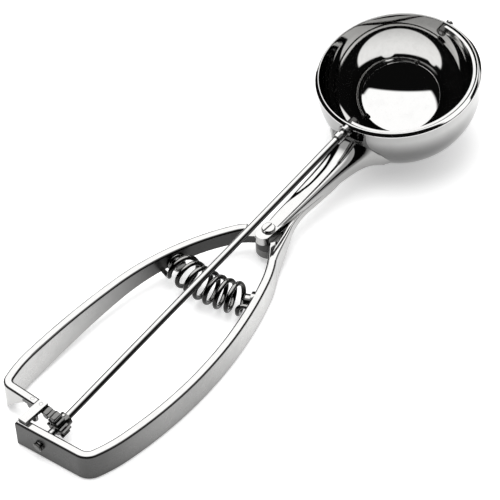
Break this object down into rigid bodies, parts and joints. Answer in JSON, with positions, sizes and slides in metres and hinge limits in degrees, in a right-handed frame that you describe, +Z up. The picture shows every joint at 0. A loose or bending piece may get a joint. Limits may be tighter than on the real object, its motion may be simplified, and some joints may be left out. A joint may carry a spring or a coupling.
{
  "type": "lever ice cream scoop",
  "caption": "Squeeze-handle ice cream scoop with a deep round bowl, sprung bowed handle strips and a rack and pinion that sweeps a curved scraper through the bowl",
  "frame": {"origin": "on the table under the middle of the scoop's bounding box", "axes": "+X from the handle to the bowl along the length, +Y towards the lever side, +Z up from the table"},
  "size_m": [0.1968, 0.0528, 0.0337],
  "materials": {
    "bright_steel": "polished stainless steel with fine polishing scratches",
    "bowl_polish": "mirror polished stainless steel",
    "spring_steel": "dark drawn spring wire",
    "dark_steel": "dark steel rivet head"
  },
  "bodies": {
    "body": {"bowl": "bowl_polish", "neck": "bright_steel", "fixed_handle": "bright_steel", "hinge_screw": "bright_steel", "hinge_nut": "bright_steel", "rear_bush": "bright_steel", "front_bush": "bright_steel", "far_pivot_pin": "bright_steel", "fixed_spring_seat": "bright_steel", "spring": "spring_steel"},
    "lever": {"lever_handle": "bright_steel", "rack": "bright_steel", "rack_rivets": "bright_steel", "slide_block": "bright_steel", "guide_stud": "bright_steel", "lever_spring_seat": "bright_steel"},
    "rod": {"rod": "bright_steel", "pinion": "bright_steel", "pinion_pin": "bright_steel", "thrust_washer": "bright_steel", "rod_end_head": "dark_steel", "front_collar": "bright_steel", "scraper": "bright_steel", "scraper_hub": "bright_steel", "scraper_far_boss": "bright_steel"}
  },
  "joints": [
    {"name": "lever_hinge", "type": "hinge", "parent": "body", "child": "lever", "pos_m": [0.00645, 0, 0.007], "axis": [0, 0, 1], "range_deg": [0, 5.2], "stiffness_Nm_per_rad": 2.5, "springref_deg": -6.88, "deforming": ["spring"]},
    {"name": "rod_spin", "type": "hinge", "parent": "body", "child": "rod", "pos_m": [0.07119, 0, 0.02828], "axis": [0.9905, 0, 0.1374], "range_deg": [0, 167.43]}
  ],
  "couplings": [
    {"joint": "rod_spin", "follows": "lever_hinge", "ratio": 32.102}
  ]
}
